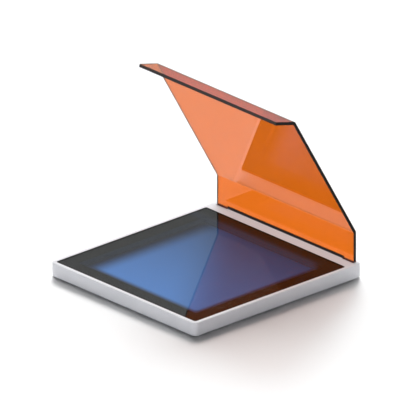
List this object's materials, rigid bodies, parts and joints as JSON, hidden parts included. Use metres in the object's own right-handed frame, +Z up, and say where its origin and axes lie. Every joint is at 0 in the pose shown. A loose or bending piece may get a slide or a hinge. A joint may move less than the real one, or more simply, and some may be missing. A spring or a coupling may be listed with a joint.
{
  "type": "led transilluminator",
  "caption": "Flat bench light box with a blue edge-lit panel under glass and a hinged amber filter cover, shown open, for viewing stained gels.",
  "frame": {"origin": "on the table, under the middle of the housing", "axes": "+Z up, +Y towards the hinge at the rear, +X to the right as seen by the user"},
  "size_m": [0.2546, 0.2706, 0.2374],
  "materials": {
    "white_shell": "fine satin moulding",
    "clear_glass": "polished",
    "black_border": "gloss black under glass",
    "black_plastic": "satin",
    "blue_sheet": "polished",
    "white_film": "matte",
    "clear_guide": "polished",
    "circuit_board": "solder mask",
    "led_package": "satin",
    "bare_aluminium": "mill finish",
    "steel": "bright",
    "foot_rubber": "matte",
    "amber_acrylic": "polished cast sheet",
    "contact_metal": "bright",
    "lead_sleeve": "satin"
  },
  "bodies": {
    "base": {"top_housing": "white_shell", "bottom_cover": "white_shell", "viewing_glass": "clear_glass", "border_mask": "black_border", "chamber_frame": "black_plastic", "blue_filter_sheet": "blue_sheet", "diffuser_sheet": "white_film", "light_guide_plate": "clear_guide", "reflector_sheet": "white_film", "led_board": "circuit_board", "leds": "led_package", "heat_bar": "bare_aluminium", "cover_screws": "steel", "foot_front_left": "foot_rubber", "foot_front_right": "foot_rubber", "foot_rear_left": "foot_rubber", "foot_rear_right": "foot_rubber", "hinge_block": "black_plastic", "hinge_screws": "steel", "dc_inlet": "black_plastic", "inlet_centre_pin": "contact_metal", "inlet_nut": "steel", "inlet_lugs": "contact_metal", "switch_body": "black_plastic", "switch_blades": "contact_metal", "driver_board": "circuit_board", "driver_inductor": "black_plastic", "driver_capacitor": "bare_aluminium", "driver_chip": "black_plastic", "inlet_lead_socket": "white_film", "led_lead_socket": "white_film", "switch_lead_socket": "white_film", "board_screws": "steel", "inlet_lead": "lead_sleeve", "switch_lead": "lead_sleeve", "led_lead": "lead_sleeve"},
    "filter_cover": {"amber_filter": "amber_acrylic", "hinge_pin": "steel"},
    "rocker": {"switch_rocker": "black_plastic"}
  },
  "joints": [
    {"name": "cover_hinge", "type": "hinge", "parent": "base", "child": "filter_cover", "pos_m": [0, 0.1301, 0.0193], "axis": [1, 0, 0], "range_deg": [0, 59.1]},
    {"name": "power_rocker", "type": "hinge", "parent": "base", "child": "rocker", "pos_m": [-0.11425, 0.13115, 0.0103], "axis": [0, 0, 1], "range_deg": [-20, 0]}
  ]
}
